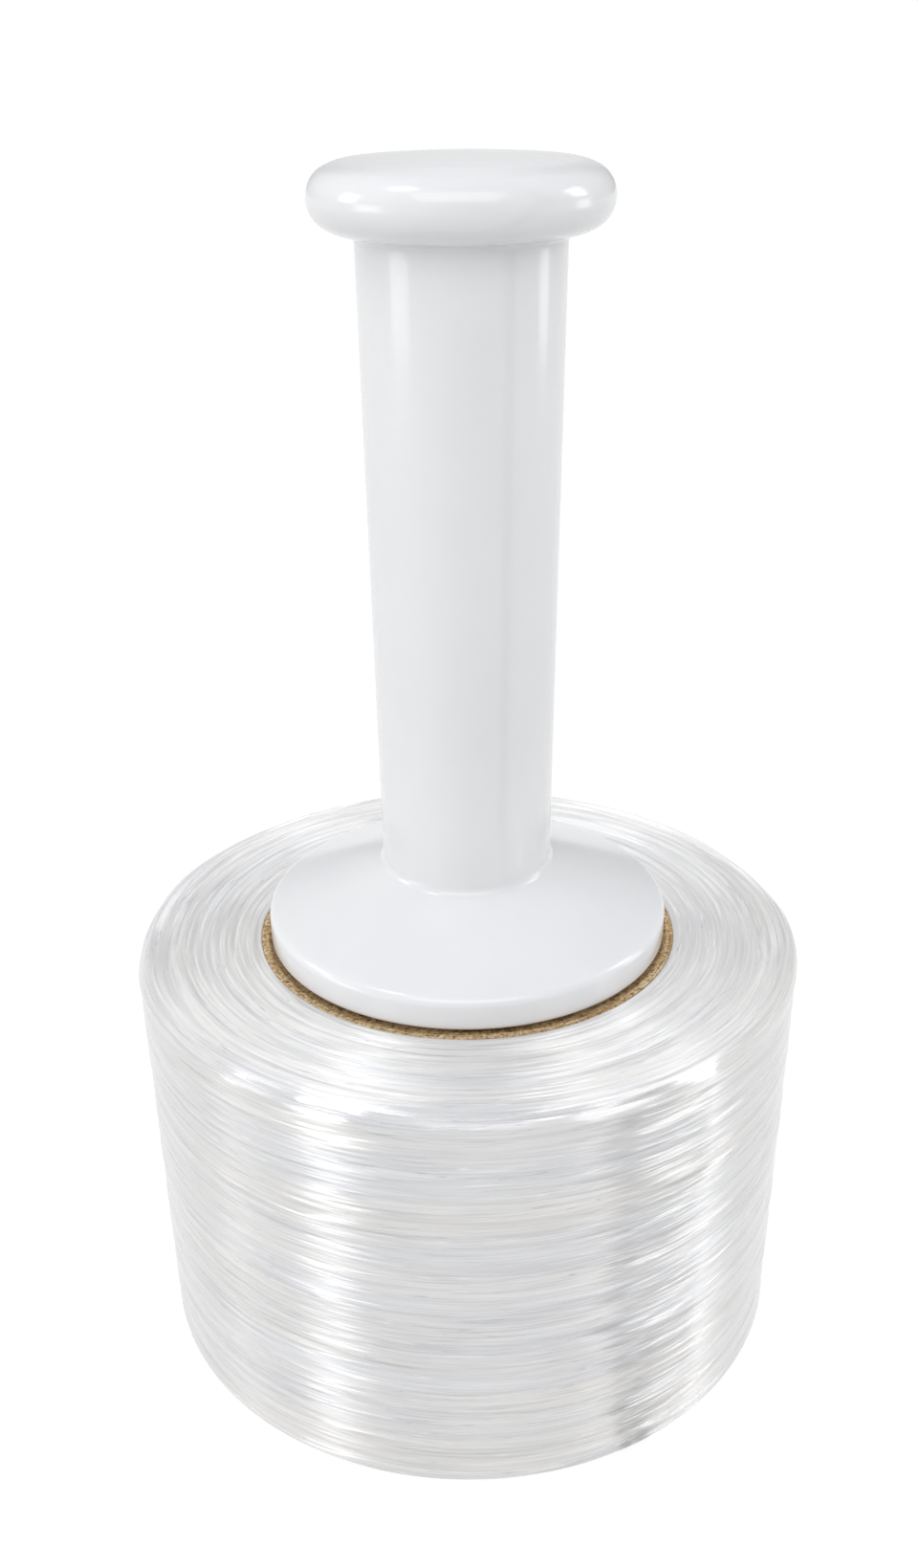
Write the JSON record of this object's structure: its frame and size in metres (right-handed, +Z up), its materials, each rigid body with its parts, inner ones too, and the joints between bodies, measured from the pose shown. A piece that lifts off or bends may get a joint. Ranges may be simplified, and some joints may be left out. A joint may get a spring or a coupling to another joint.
{
  "type": "stretch wrap roll",
  "caption": "Roll of clear stretch film on a paperboard core, with a hollow moulded handle that has a knob, a tapered grip and a flange, and that the roll turns on.",
  "frame": {"origin": "centre of the roll's lower end, on the surface that it stands on", "axes": "+Z up along the common axis of film, core and handle, towards the knob; the part is round, so +X and +Y are free"},
  "size_m": [0.134, 0.134, 0.2316],
  "materials": {
    "film": "gloss",
    "paperboard": "matte",
    "handle_plastic": "gloss"
  },
  "bodies": {
    "roll": {"film_roll": "film", "core": "paperboard"},
    "handle": {"handle": "handle_plastic"}
  },
  "joints": [
    {"name": "handle_spin", "type": "hinge", "parent": "roll", "child": "handle", "pos_m": [0, 0, 0.0893], "axis": [0, 0, 1], "continuous": true}
  ]
}
